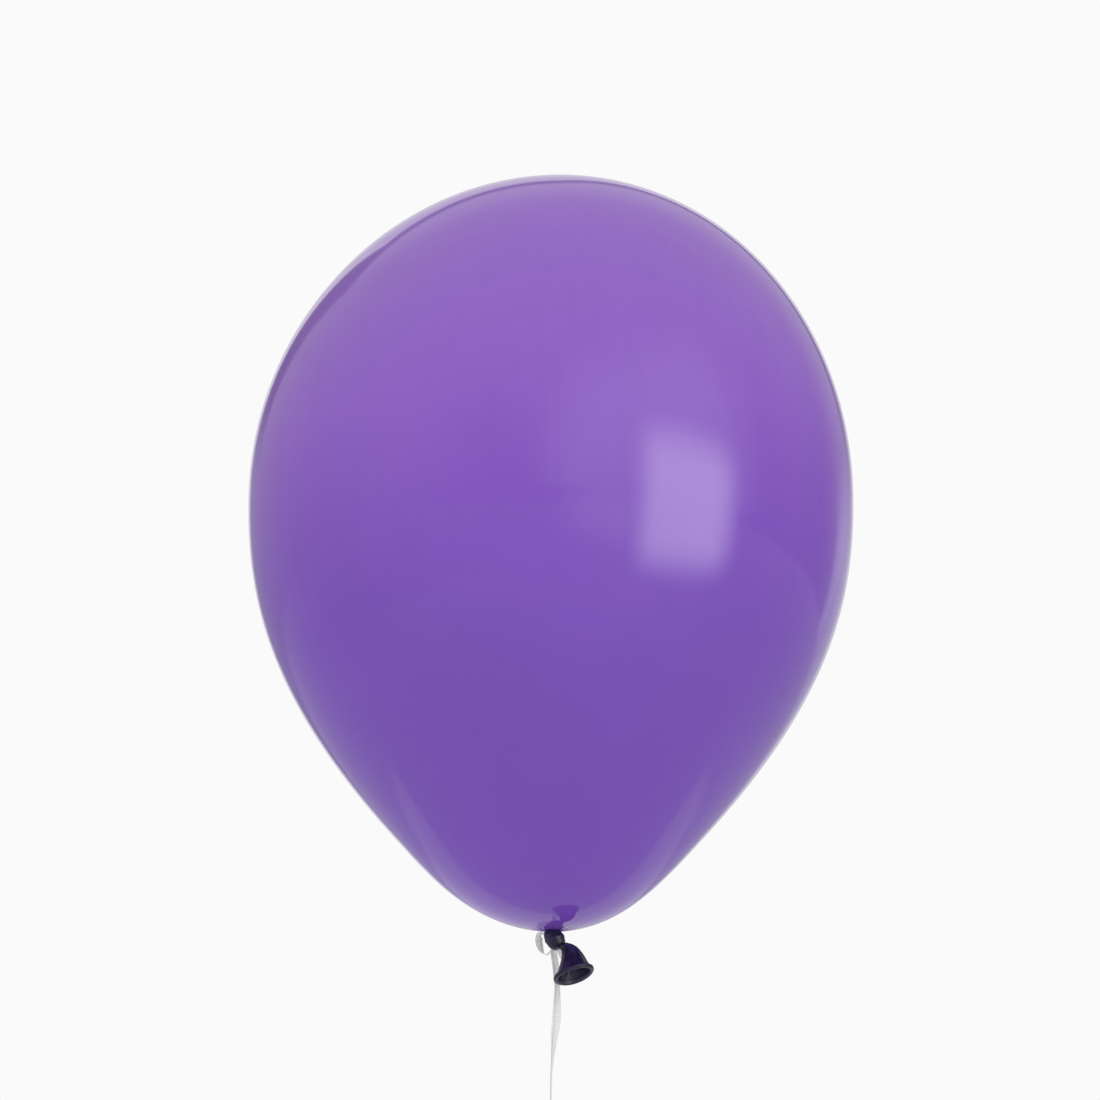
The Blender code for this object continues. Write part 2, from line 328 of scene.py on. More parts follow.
# ---- finishes -------------------------------------------------------------------------
@dataclass(frozen=True)
class StretchedLatex:
    """Blown latex: glossy; paler towards the top and deeper low down, partly from thicker latex towards
    the neck and partly as painted shade of the light from above; darker at the neck root with a painted
    reflection of the dark knot, and deeper at the crown spot.
    """

    low: float
    high: float
    neck: Vector
    crown: Vector
    pale: Colour = (0.285, 0.123, 0.560)
    middle: Colour = (0.285, 0.112, 0.600)
    deep: Colour = (0.215, 0.078, 0.565)
    # Deep tint of heavier latex; round the neck root it also carries the painted reflection of the dark
    # knot.
    thick: Colour = (0.060, 0.022, 0.200)
    roughness: float = 0.10
    index: float = 1.52
    # Share of the darkening round the neck root: partly thicker latex, partly a painted reflection of
    # the dark knot.
    neck_thickness_and_knot_reflection: float = 0.12
    crown_stain: float = 0.35

    def make(self) -> bpy.types.Material:
        """Write the material.

        Returns:
            The material.
        """
        material, graph = new_material("stretched_latex_skin")
        point, height = graph.place()
        share = (height - self.low) / (self.high - self.low)
        # Paler towards the top, deeper low down: partly thicker latex towards the neck, partly painted
        # shade of the light from above.
        skin = graph.node(
            "ShaderNodeValToRGB",
            {"stops": [(0.05, self.deep), (0.34, self.deep), (0.62, self.middle), (0.80, self.pale)]},
            {"Fac": share},
        )
        clouds = graph.noise(point, 9.0, 3.0).ease(0.35, 0.65)
        skin = graph.blend(clouds * 0.06, skin, self.thick)
        streaks = graph.noise(graph.stretched(point, (160.0, 160.0, 6.0)), 1.0, 3.0)
        specks = graph.noise(point, 1400.0, 1.0).ease(0.62, 0.75)
        near_neck = graph.distance(point, self.neck).ease(0.006, 0.003)
        near_crown = graph.distance(point, self.crown).ease(0.013, 0.002)
        skin = graph.blend((streaks - 0.5).ease(0.0, 0.3) * 0.05 + specks * 0.03, skin, self.thick)
        # Darker round the neck root: thicker latex there and a painted reflection of the dark knot.
        skin = graph.blend(near_neck * self.neck_thickness_and_knot_reflection, skin, self.thick)
        skin = graph.blend(near_crown * self.crown_stain, skin, self.thick)
        shader = graph.node(
            "ShaderNodeBsdfPrincipled",
            None,
            {
                "Base Color": skin,
                "Roughness": self.roughness + clouds * 0.015 + near_neck * 0.12,
                "IOR": self.index,
                "Normal": graph.bump(graph.noise(point, 420.0, 2.0), 0.000004),
            },
        )
        graph.surface(shader)
        return material


@dataclass(frozen=True)
class SlackLatex:
    """Unstretched latex of the knot and the mouth: thick, dark, softly shining, with a little pale
    powder and a painted highlight ring on the mouth's lip.
    """

    name: str = "slack_latex_fold"
    deep: Colour = (0.0105, 0.0075, 0.028)
    lit: Colour = (0.026, 0.018, 0.075)
    # Pale powder colour, also used for the painted highlight ring on the mouth's lip.
    powder_and_lip_highlight: Colour = (0.085, 0.075, 0.130)
    roughness: float = 0.34
    shine: float = 0.38
    # Strength of the painted highlight ring on the mouth's lip.
    lip_highlight_strength: float = 0.6

    def make(self) -> bpy.types.Material:
        """Write the material.

        Returns:
            The material.
        """
        material, graph = new_material(self.name)
        point, _ = graph.place()
        patches = graph.noise(point, 170.0, 3.0).ease(0.38, 0.62)
        colour = graph.blend(patches, self.deep, self.lit)
        # Painted highlight: a pale ring on the mouth's lip, where the mouth sets its edge value.
        colour = graph.blend(graph.attribute("edge") * self.lip_highlight_strength, colour, self.powder_and_lip_highlight)
        powder = graph.noise(point, 2600.0, 3.0).ease(0.55, 0.72)
        colour = graph.blend(powder * 0.10, colour, self.powder_and_lip_highlight)
        creases = graph.noise(graph.stretched(point, (1.0, 1.0, 0.35)), 1500.0, 3.0)
        shader = graph.node(
            "ShaderNodeBsdfPrincipled",
            None,
            {
                "Base Color": colour,
                "Roughness": self.roughness + powder * 0.15 + patches * 0.05,
                "Specular IOR Level": self.shine,
                "Normal": graph.bump(creases, 0.00006),
            },
        )
        graph.surface(shader)
        return material


@dataclass(frozen=True)
class RibbonFilm:
    """Curling ribbon: a pearly, slightly clear plastic film with fine ribs along it."""

    body: Colour = (0.86, 0.86, 0.87)
    # Darker grey for the painted shade along the lengthwise fold, also used for faint clouding.
    fold: Colour = (0.42, 0.42, 0.43)
    roughness: float = 0.28
    clearness: float = 0.58
    ribs: float = 11.0

    def make(self) -> bpy.types.Material:
        """Write the material.

        Returns:
            The material.
        """
        material, graph = new_material("ribbon_film_pearl")
        point, _ = graph.place()
        across = graph.attribute("across")
        ribs = (across * (self.ribs * FULL_TURN)).sine() * 0.5 + 0.5
        clouds = graph.noise(graph.stretched(point, (300.0, 300.0, 40.0)), 1.0, 3.0)
        crease = graph.attribute("crease")
        # Painted shade: darker grey along the lengthwise fold.
        colour = graph.blend(crease, self.body, self.fold)
        colour = graph.blend(clouds.ease(0.45, 0.7) * 0.18, colour, self.fold)
        shader = graph.node(
            "ShaderNodeBsdfPrincipled",
            None,
            {
                "Base Color": colour,
                "Roughness": self.roughness + clouds * 0.1,
                "Alpha": 1.0 - self.clearness * (1.0 - crease),
                "Normal": graph.bump(ribs, 0.00002),
            },
        )
        graph.surface(shader)
        return material


@dataclass(frozen=True)
class MattPaint:
    """Plain paint of the studio floor and of the lit paper behind."""

    colour: Colour = (0.84, 0.84, 0.84)
    worn: Colour = (0.70, 0.70, 0.70)
    glow: float = 0.0

    def make(self) -> bpy.types.Material:
        """Write the material.

        Returns:
            The material.
        """
        material, graph = new_material("studio_floor_paint")
        point, _ = graph.place()
        shade = graph.blend(graph.noise(point, 1.5, 2.0) * 0.04, self.colour, self.worn)
        values = {
            "Base Color": shade, "Roughness": 0.8,
            "Emission Color": WHITE, "Emission Strength": self.glow,
        }
        graph.surface(graph.node("ShaderNodeBsdfPrincipled", None, values))
        return material


@dataclass(frozen=True)
class LitPanel:
    """The soft panel of light at the right, clear towards its edges."""

    glow: float = 4.3

    def make(self) -> bpy.types.Material:
        """Write the material.

        Returns:
            The material.
        """
        material, graph = new_material("lit_panel")
        values = {
            "Base Color": BLACK, "Roughness": 1.0, "Alpha": graph.attribute("share"),
            "Emission Color": WHITE, "Emission Strength": self.glow,
        }
        graph.surface(graph.node("ShaderNodeBsdfPrincipled", None, values))
        return material


# ---- shared shape work ----------------------------------------------------------------
def smooth_share(value: float, low: float, high: float) -> float:
    """Ease from 0 at one value to 1 at the other.

    Args:
        value: where on the way.
        low: value that gives 0.
        high: value that gives 1.

    Returns:
        The share.
    """
    share = min(1.0, max(0.0, (value - low) / (high - low)))
    return share * share * (3.0 - 2.0 * share)


def bezier(corners: Sequence[tuple[float, float]], count: int) -> Outline:
    """Points of one Bezier stretch, without its last point.

    Args:
        corners: start, its handle, the end's handle, end.
        count: how many points the stretch has.

    Returns:
        The points.
    """
    places = [Vector((*corner, 0.0)) for corner in corners]
    return [tuple(point[:2]) for point in interpolate_bezier(*places, count)][:-1]


def spun(points: Outline, steps: int) -> bmesh.types.BMesh:
    """A shape turned about Z from its outline.

    Args:
        points: radius and height of each point, from the top pole to the bottom one.
        steps: facets round the shape.

    Returns:
        The closed shape.
    """
    shape = bmesh.new()
    corners = [shape.verts.new((radius, 0.0, height)) for radius, height in points]
    chain = [shape.edges.new(pair) for pair in zip(corners, corners[1:])]
    bmesh.ops.spin(
        shape, geom=corners + chain, cent=(0.0, 0.0, 0.0), axis=(0.0, 0.0, 1.0),
        angle=FULL_TURN, steps=steps, use_merge=True,
    )
    bmesh.ops.remove_doubles(shape, verts=shape.verts, dist=WELD)
    bmesh.ops.recalc_face_normals(shape, faces=shape.faces)
    return shape


def aim(centre: Vector, direction: Vector) -> Matrix:
    """A matrix that stands at the centre with its -Z along the direction."""
    turned = (-direction).to_track_quat("Z", "X").to_matrix().to_4x4()
    return Matrix.Translation(centre) @ turned


def smooth_route(rows: Sequence[Row], step: float) -> list[Row]:
    """Rows read at even steps from the smooth curve through the given rows.

    Args:
        rows: place and other values of each row.
        step: distance between the rows that are read, in metres.

    Returns:
        The rows.
    """
    padded = [rows[0], *rows, rows[-1]]
    result = []
    for before, start, end, after in zip(padded, padded[1:], padded[2:], padded[3:]):
        count = max(1, round(math.dist(start[:3], end[:3]) / step))
        for index in range(count):
            share = index / count
            result.append(tuple(
                0.5 * (2.0 * p1 + (p2 - p0) * share
                       + (2.0 * p0 - 5.0 * p1 + 4.0 * p2 - p3) * share**2
                       + (3.0 * p1 - p0 - 3.0 * p2 + p3) * share**3)
                for p0, p1, p2, p3 in zip(before, start, end, after)
            ))
    return result + [tuple(rows[-1])]


def dressed(
    name: str, shape: bmesh.types.BMesh, material: bpy.types.Material, slot: Slot | None
) -> bpy.types.Object:
    """A finished piece, put on the object's body when it has a slot.

    Args:
        name: the piece's name.
        shape: its shape, which is freed.
        material: its material.
        slot: the record's slot that its finish belongs to; only whether one is given is used, and then
            the piece goes on the object's body.

    Returns:
        The piece.
    """
    mesh = bpy.data.meshes.new(name)
    shape.to_mesh(mesh)
    shape.free()
    mesh.shade_smooth()
    mesh.materials.append(material)
    piece = bpy.data.objects.new(name, mesh)
    bpy.context.scene.collection.objects.link(piece)
    if slot:
        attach(piece, BODY)
        LOG.info("made %s: %d faces", name, len(mesh.polygons))
    return piece


# ---- blown body -----------------------------------------------------------------------
@dataclass
class BlownBody:
    """The stretched skin, from its crown down to the gathered neck."""

    finish_colours: StretchedLatex
    radius: float = 0.150
    base: float = 0.147
    equator_rise: float = 0.2137
    crown_rise: float = 0.1638
    axis_x: float = -0.0011
    lean: float = 0.0019
    crown_sway: float = 0.0040
    base_sway: float = 0.0018
    base_sway_rise: float = 0.030
    equator_pull: float = 0.0483
    flank_radius: float = 0.0757
    flank_drop: float = 0.1675
    flank_angle: float = math.radians(42.4)
    flank_pull_up: float = 0.0951
    flank_pull_down: float = 0.0270
    base_pull: float = 0.0354
    neck_root: float = 0.0060
    steps: int = 224
    pleats: int = 17
    pleat_reach: float = 0.022
    pleat_depth: float = 0.00022
    pleat_centre: float = 0.003

    def outline(self) -> Outline:
        """The outer line, crown to the neck's end.

        Returns:
            Radius and height of each point.
        """
        equator = (self.radius, self.base + self.equator_rise)
        crown = (0.0, equator[1] + self.crown_rise)
        flank = (self.flank_radius, equator[1] - self.flank_drop)
        slope = (-math.sin(self.flank_angle), -math.cos(self.flank_angle))
        above = tuple(f - s * self.flank_pull_up for f, s in zip(flank, slope))
        below = tuple(f + s * self.flank_pull_down for f, s in zip(flank, slope))
        round_pull = 4.0 / 3.0 * (math.sqrt(2.0) - 1.0)
        shoulder = (self.radius, equator[1] + self.crown_rise * round_pull)
        points = bezier([crown, (self.radius * round_pull, crown[1]), shoulder, equator], 61)
        points += bezier([equator, (self.radius, equator[1] - self.equator_pull), above, flank], 61)
        points += bezier([flank, below, (self.base_pull, self.base), (0.0, self.base)], 41)
        kept = [p for p in points if p[0] > self.neck_root or p[1] > equator[1]]
        return kept + self.neck_outline()

    def neck_outline(self) -> Outline:
        """The line where the base gathers into the neck, down to its end in the knot.

        Returns:
            Radius and height of each point.
        """
        root, base = self.neck_root, self.base
        return [
            (root * 0.86, base + 0.00010), (root * 0.72, base + 0.00003),
            (root * 0.60, base - 0.00012), (root * 0.52, base - 0.00038),
            (root * 0.47, base - 0.00080), (root * 0.44, base - 0.00140),
            (root * 0.42, base - 0.00220), (root * 0.20, base - 0.00240), (0.0, base - 0.00245),
        ]

    def sway(self, height: float) -> float:
        """How far the body stands off its turning axis at a height.

        Args:
            height: above the origin.

        Returns:
            The offset towards +X.
        """
        top = self.equator_rise + self.crown_rise
        off = self.lean * (height - self.base) / top
        above = (height - self.base - self.equator_rise) / self.crown_rise
        off += self.crown_sway * max(0.0, above) ** 2
        fade = max(0.0, 1.0 - (height - self.base) / self.base_sway_rise)
        return self.axis_x + off + self.base_sway * min(fade, 1.0) ** 2

    def build(self) -> bpy.types.Object:
        """Make the skin.

        Returns:
            The piece.
        """
        shape = spun(self.outline(), self.steps)
        for corner in shape.verts:
            spread = math.hypot(corner.co.x, corner.co.y)
            if corner.co.z < self.base + self.base_sway_rise and spread < self.pleat_reach:
                angle = math.atan2(corner.co.y, corner.co.x)
                fade = (1.0 - spread / self.pleat_reach) ** 2
                fold = math.cos(self.pleats * angle + 1.3 * math.sin(2.0 * angle))
                corner.co.z += self.pleat_depth * fade * fold * min(1.0, spread / self.pleat_centre)
            corner.co.x += self.sway(corner.co.z)
        piece = dressed("skin", shape, self.finish_colours.make(), Slot.STRETCHED)
        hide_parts("balloon_skin")
        return piece


# ---- knotted neck ---------------------------------------------------------------------
@dataclass
class KnottedNeck:
    """The overhand knot in the neck: a bunched collar, a core and a roll wrapped round it."""

    material: bpy.types.Material
    neck: Vector
    centre: Vector
    axis: Vector
    radius: float = 0.0045
    half_length: float = 0.0048
    collar_radius: float = 0.0042
    collar_pleats: int = 13
    collar_fold: float = 0.055
    roll_radius: float = 0.0019
    roll_turns: float = 1.55
    roll_start: float = math.radians(20.0)
    roll_stand_off: float = 0.0004
    roll_steps: int = 64
    voxel: float = 0.00016
    soft_rounds: int = 16

    def collar(self) -> bmesh.types.BMesh:
        """The bunched latex between the body and the knot.

        Returns:
            Its closed shape.
        """
        wide = self.collar_radius
        shape = spun([
            (0.0, 0.0000), (wide * 0.50, -0.0001), (wide * 0.80, -0.0004), (wide * 0.97, -0.0009),
            (wide, -0.00125), (wide * 0.93, -0.00150), (wide * 0.72, -0.00165),
            (wide * 0.58, -0.0021), (wide * 0.56, -0.0040), (0.0, -0.0042),
        ], 96)
        for corner in shape.verts:
            angle = math.atan2(corner.co.y, corner.co.x)
            waver = self.collar_pleats * angle + math.sin(3.0 * angle)
            fold = 1.0 + self.collar_fold * math.cos(waver)
            corner.co.x *= fold
            corner.co.y *= fold
        bmesh.ops.translate(shape, vec=self.neck, verts=shape.verts)
        return shape

    def roll_rows(self) -> list[Row]:
        """The roll, in the knot's own frame, whose axis is -Z.

        Returns:
            Place and radius along the roll.
        """
        rows = []
        for index in range(self.roll_steps + 1):
            share = index / self.roll_steps
            angle = self.roll_start + FULL_TURN * self.roll_turns * share
            ends = min(share, 1.0 - share) / 0.16
            ease = min(1.0, ends) ** 0.7
            away = (self.radius + self.roll_stand_off - self.roll_radius) * (0.35 + 0.65 * ease)
            height = (0.5 - share) * (self.half_length * 1.05)
            height += self.roll_stand_off * math.sin(angle)
            rows.append((
                away * math.cos(angle), away * math.sin(angle), height,
                self.roll_radius * (0.62 + 0.38 * ease),
            ))
        return rows

    def tube(self, rows: Sequence[Row], name: str) -> bpy.types.Object:
        """A round tube along rows of place and radius.

        Args:
            rows: x, y, z and radius.
            name: the tube's name.

        Returns:
            The tube, as a curve object.
        """
        curve = bpy.data.curves.new(name, "CURVE")
        curve.dimensions = "3D"
        curve.bevel_depth = 1.0
        curve.bevel_resolution = 8
        curve.use_fill_caps = True
        spine = curve.splines.new("POLY")
        spine.points.add(len(rows) - 1)
        for point, row in zip(spine.points, rows):
            point.co = (*row[:3], 1.0)
            point.radius = row[3]
        item = bpy.data.objects.new(name, curve)
        bpy.context.scene.collection.objects.link(item)
        return item

    def core_rows(self) -> list[Row]:
        """The neck's own way through the knot, in the knot's frame.

        Returns:
            Place and radius along the core.
        """
        half = self.half_length
        return [
            (0.0, 0.0, half * 1.02, 0.0034), (0.0, 0.0, half * 0.7, 0.0042),
            (0.0, 0.0, half * 0.2, 0.0046), (0.0, 0.0, -half * 0.35, 0.0045),
            (0.0, 0.0, -half * 0.8, 0.0038), (0.0, 0.0, -half * 1.04, 0.0026),
        ]

    def build(self) -> bpy.types.Object:
        """Make the knot.

        Returns:
            The piece.
        """
        shape = self.collar()
        place = aim(self.centre, self.axis)
        for name, rows in (("roll", self.roll_rows()), ("core", self.core_rows())):
            item = self.tube(smooth_route(rows, 0.0005), name)
            bpy.context.view_layer.update()
            graph = bpy.context.evaluated_depsgraph_get()
            mesh = bpy.data.meshes.new_from_object(item.evaluated_get(graph))
            mesh.transform(place)
            shape.from_mesh(mesh)
            bpy.data.objects.remove(item)
            bpy.data.meshes.remove(mesh)
        bmesh.ops.remove_doubles(shape, verts=shape.verts, dist=WELD)
        piece = dressed("knot", shape, self.material, Slot.SLACK)
        merge = piece.modifiers.new("one skin", "REMESH")
        merge.mode = "VOXEL"
        merge.voxel_size = self.voxel
        merge.use_smooth_shade = True
        soften = piece.modifiers.new("soft folds", "SMOOTH")
        soften.iterations = self.soft_rounds
        soften.factor = 0.5
        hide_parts("neck_knot")
        return piece


# ---- mouth ----------------------------------------------------------------------------
@dataclass
class FlaredMouth:
    """The free end of the neck: a pleated funnel with a rolled lip."""

    material: bpy.types.Material
    waist: Vector
    lip: Vector
    bow: float = 0.0020
    wall: float = 0.00042
    bead: float = 0.00115
    lip_radius: float = 0.0090
    # Radius and width of the painted highlight ring on the lip's bead.
    highlight_ring_radius: float = 0.0082
    highlight_ring_width: float = 0.0004
    radii: tuple[float, ...] = (0.0029, 0.0036, 0.0044, 0.0053, 0.0062, 0.0071, 0.0081, 0.0090)
    pleats: int = 9
    pleat_depth: float = 0.085
    steps: int = 144

    def outline(self) -> Outline:
        """The funnel's line: outer wall, rolled lip, inner wall.

        Returns:
            Radius and height of each point, with the waist at height 0.
        """
        depth = (self.lip - self.waist).length
        rows = [(r, -depth * index / (len(self.radii) - 1)) for index, r in enumerate(self.radii)]
        fine = [row[:2] for row in smooth_route([(r, z, 0.0) for r, z in rows], 0.0004)]
        outer = [(radius + self.wall / 2.0, z) for radius, z in fine if z > self.bead - depth]
        inner = [(radius - self.wall / 2.0, z) for radius, z in fine if z > self.bead - depth]
        turns = [math.radians(130 - 20 * index) for index in range(14)]
        roll = [
            (self.lip_radius + self.bead * math.cos(turn), self.bead * math.sin(turn) - depth)
            for turn in turns[2:]
        ]
        closed_top = [(0.0, 0.0012), (self.radii[0] * 0.7, 0.0010)]
        closed_floor = [(self.radii[0] * 0.35, -0.0012), (0.0, -0.0010)]
        low = inner[::-1]
        return closed_top + outer + roll + low[:-3] + closed_floor

    def build(self) -> bpy.types.Object:
        """Make the mouth.

        Returns:
            The piece.
        """
        shape = spun(self.outline(), self.steps)
        depth = (self.lip - self.waist).length
        edge = shape.verts.layers.float.new("edge")
        for corner in shape.verts:
            share = min(1.0, max(0.0, -corner.co.z / depth))
            angle = math.atan2(corner.co.y, corner.co.x)
            fade = (1.0 - share) ** 1.2 * min(1.0, share * 6.0 + 0.3)
            fold = math.cos(self.pleats * angle + 0.9 * math.sin(2.0 * angle) + 2.0 * share)
            swell = 1.0 + self.pleat_depth * fade * fold
            swell += 0.018 * share * math.sin(3.0 * angle + 0.7)
            corner.co.x *= swell
            corner.co.y *= swell
            # Painted highlight: the edge value marks a thin pale ring on the lip's bead.
            radius = math.hypot(corner.co.x, corner.co.y)
            near_line = 1.0 - abs(radius - self.highlight_ring_radius) / self.highlight_ring_width
            corner[edge] = max(0.0, near_line) * (share > 0.97)
        bmesh.ops.transform(shape, matrix=aim(self.waist, (self.lip - self.waist).normalized()),
                            verts=shape.verts)
        axis = self.lip - self.waist
        for corner in shape.verts:
            share = (corner.co - self.waist).dot(axis) / axis.length_squared
            corner.co.x += self.bow * math.sin(math.pi * math.sqrt(min(max(share, 0.0), 1.0)))
        piece = dressed("mouth", shape, self.material, Slot.SLACK)
        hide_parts("mouth_funnel")
        return piece


# ---- ribbon ---------------------------------------------------------------------------
@dataclass
class Ribbon:
    """The curling ribbon: its tie at the neck, the taut run and the loop for a hand."""

    material: bpy.types.Material
    width: float = 0.0048
    film: float = 0.00016
    strand: float = 0.0005
    strand_sides: int = 18
    columns: int = 12
    step: float = 0.0008
    tie_centre: Vector = Vector((0.0010, 0.0041, 0.1402))
    hand_knot: Vector = Vector((0.0, 0.0, 0.0500))
    loop_drop: float = 0.0465
    loop_half_width: float = 0.0115
    loop_start: float = math.radians(22.0)
    loop_pointedness: float = 0.6
    run_route: tuple[Row, ...] = (
        (0.0012, 0.0042, 0.1383, 45), (0.0015, 0.0042, 0.1357, 46), (0.0022, 0.0042, 0.1308, 48),
        (0.0026, 0.0044, 0.1259, 52), (0.0030, 0.0044, 0.1206, 56), (0.0030, 0.0041, 0.1172, 52),
        (0.0029, 0.0037, 0.1137, 45), (0.0027, 0.0030, 0.1064, 33), (0.0023, 0.0024, 0.1015, 34),
        (0.0017, 0.0019, 0.0965, 46), (0.0012, 0.0015, 0.0918, 61), (0.0006, 0.0010, 0.0845, 75),
        (0.0002, 0.0005, 0.0773, 82), (0.0000, 0.0002, 0.0652, 84), (0.0000, 0.0000, 0.0535, 90),
    )
    side_route: tuple[Row, ...] = (
        (-0.0025, 0.0038, 0.1458, 88), (-0.0041, 0.0034, 0.1459, 70),
        (-0.0053, 0.0030, 0.1451, 50), (-0.0058, 0.0028, 0.1434, 42),
        (-0.0056, 0.0029, 0.1408, 44), (-0.0048, 0.0032, 0.1384, 54),
        (-0.0035, 0.0036, 0.1366, 70), (-0.0019, 0.0041, 0.1360, 84),
        (-0.0007, 0.0043, 0.1372, 90),
    )
    tail_route: tuple[Row, ...] = (
        (0.0031, 0.0055, 0.1388, 60), (0.0045, 0.0056, 0.1371, 50), (0.0062, 0.0057, 0.1347, 40),
        (0.0078, 0.0058, 0.1317, 30), (0.0086, 0.0062, 0.1283, 48),
    )
    neck_route: tuple[Row, ...] = (
        (-0.0024, -0.0012, 0.1450), (-0.0031, 0.0006, 0.1450), (-0.0022, 0.0025, 0.1449),
        (-0.0004, 0.0036, 0.1446), (0.0014, 0.0040, 0.1435), (0.0014, 0.0041, 0.1421),
    )

    def strip(self, name: str, rows: Sequence[Row], cup: float, crease: float) -> bpy.types.Object:
        """A stretch of the flat film.

        Args:
            name: the piece's name.
            rows: x, y, z and the way its width points, in degrees about +Z from +X.
            cup: how far the film's middle stands off its edges.
            crease: place of a lengthwise fold across the width, from -1 to 1.

        Returns:
            The piece.
        """
        places = [Vector(row[:3]) for row in rows]
        shape = bmesh.new()
        across_layer = shape.verts.layers.float.new("across")
        crease_layer = shape.verts.layers.float.new("crease")
        line: list[bmesh.types.BMVert] = []
        for index, row in enumerate(rows):
            ahead = places[min(index + 1, len(places) - 1)] - places[max(index - 1, 0)]
            side = Vector((math.cos(math.radians(row[3])), math.sin(math.radians(row[3])), 0.0))
            side = (side - ahead * (side.dot(ahead) / ahead.length_squared)).normalized()
            out = side.cross(ahead.normalized())
            if not line:
                line = [shape.verts.new() for _ in range(self.columns + 1)]
                edges = [shape.edges.new(pair) for pair in zip(line, line[1:])]
            else:
                grown = bmesh.ops.extrude_edge_only(shape, edges=edges)["geom"]
                edges = [part for part in grown if isinstance(part, bmesh.types.BMEdge)
                         and all(end in grown for end in part.verts)]
                edges.sort(key=lambda edge: sum(end[across_layer] for end in edge.verts))
                ends = {end for edge in edges for end in edge.verts}
                line = sorted(ends, key=lambda end: end[across_layer])
            for column, corner in enumerate(line):
                share = 2.0 * column / self.columns - 1.0
                ridge = max(0.0, 1.0 - abs(share - crease) * 6.0)
                lift = cup * (1.0 - share * share) + cup * 0.8 * ridge
                corner.co = places[index] + side * (share * self.width / 2.0) + out * lift
                corner[across_layer] = share
                # The crease value carries the painted shade of the fold, and makes the film less clear
                # there.
                corner[crease_layer] = max(0.0, 1.0 - abs(share - crease) * 7.0) * 0.7
        piece = dressed(name, shape, self.material, Slot.FILM)
        wall = piece.modifiers.new("film", "SOLIDIFY")
        wall.thickness = self.film
        wall.offset = 0.0
        return piece

    def bundle(self, name: str, rows: Sequence[Row], radius: float) -> bpy.types.Object:
        """The film drawn into a round strand with lengthwise folds.

        Args:
            name: the piece's name.
            rows: the strand's places.
            radius: its radius.

        Returns:
            The piece.
        """
        places = [Vector(row[:3]) for row in rows]
        sides, shape = self.strand_sides, bmesh.new()
        ring = bmesh.ops.create_circle(shape, cap_ends=True, segments=sides, radius=radius)["verts"]
        offsets = [corner.co.copy() for corner in ring]
        for index, place in enumerate(places):
            ahead = places[min(index + 1, len(places) - 1)] - places[max(index - 1, 0)]
            turned = ahead.to_track_quat("Z", "X").to_matrix()
            if index:
                cap = next(face for face in ring[0].link_faces if len(face.verts) == sides)
                grown = bmesh.ops.extrude_face_region(shape, geom=[cap])["geom"]
                if index > 1:
                    bmesh.ops.delete(shape, geom=[cap], context="FACES_ONLY")
                ends = [part for part in grown if isinstance(part, bmesh.types.BMVert)]
                ring = [min(ends, key=lambda end, near=old: (end.co - near.co).length) for old in ring]
            for count, (corner, offset) in enumerate(zip(ring, offsets)):
                fold = 1.0 + 0.16 * math.cos(count * FULL_TURN * 4.0 / sides + index * 0.25)
                corner.co = place + turned @ (offset * fold)
        bmesh.ops.recalc_face_normals(shape, faces=shape.faces)
        return dressed(name, shape, self.material, Slot.FILM)

    def knot_rows(self, centre: Vector, radius: float, height: float, turns: float) -> list[Row]:
        """A strand wound round itself, drawn tight.

        Args:
            centre: the knot's middle.
            radius: of the winding's own line.
            height: from its first turn to its last.
            turns: how many turns it makes.

        Returns:
            The strand's places.
        """
        steps = 72
        rows = []
        for index in range(steps + 1):
            share = index / steps
            angle = FULL_TURN * turns * share
            close = min(1.0, min(share, 1.0 - share) * 7.0 + 0.35)
            rows.append((
                centre.x + radius * close * math.cos(angle),
                centre.y + radius * close * math.sin(angle),
                centre.z + height * (0.5 - share) + 0.15 * height * math.sin(angle * 1.5),
            ))
        return rows

    def loop_rows(self) -> list[Row]:
        """The hand loop's route, round from its knot and back.

        Returns:
            Places and the way the width points.
        """
        rows = []
        steps = 110
        for index in range(steps + 1):
            angle = self.loop_start + 2.0 * (math.pi - self.loop_start) * index / steps
            narrowing = ((1.0 - math.cos(angle)) / 2.0) ** self.loop_pointedness
            rows.append((
                self.loop_half_width * math.sin(angle) * narrowing, 0.0,
                self.loop_drop * (1.0 + math.cos(angle)) / 2.0 - 0.00015, 90.0,
            ))
        return rows

    def build(self) -> None:
        """Make every stretch and knot of the ribbon."""
        run = smooth_route(self.run_route, self.step)
        taut = self.strip("taut_run", run, 0.00022, -0.30)
        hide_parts("ribbon_run")
        side = self.strip("side_curl", smooth_route(self.side_route, 0.0004), 0.00015, 0.5)
        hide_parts("ribbon_side_loop")
        tail = self.strip("short_tail", smooth_route(self.tail_route, 0.0004), 0.00018, 0.4)
        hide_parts("ribbon_tail")
        tie = self.bundle("neck_tie", smooth_route(self.neck_route, 0.0003), self.strand)
        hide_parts("ribbon_neck_tie")
        knot = self.bundle(
            "tie_knot", self.knot_rows(self.tie_centre, 0.00092, 0.0014, 2.6), 0.00058)
        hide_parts("ribbon_tie_knot")
        hand = self.bundle(
            "hand_knot", self.knot_rows(self.hand_knot, 0.00115, 0.0040, 3.6), 0.00082)
        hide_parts("hand_loop_knot")
        loop = self.strip("loop_for_hand", self.loop_rows(), 0.0, 2.0)
        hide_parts("hand_loop")


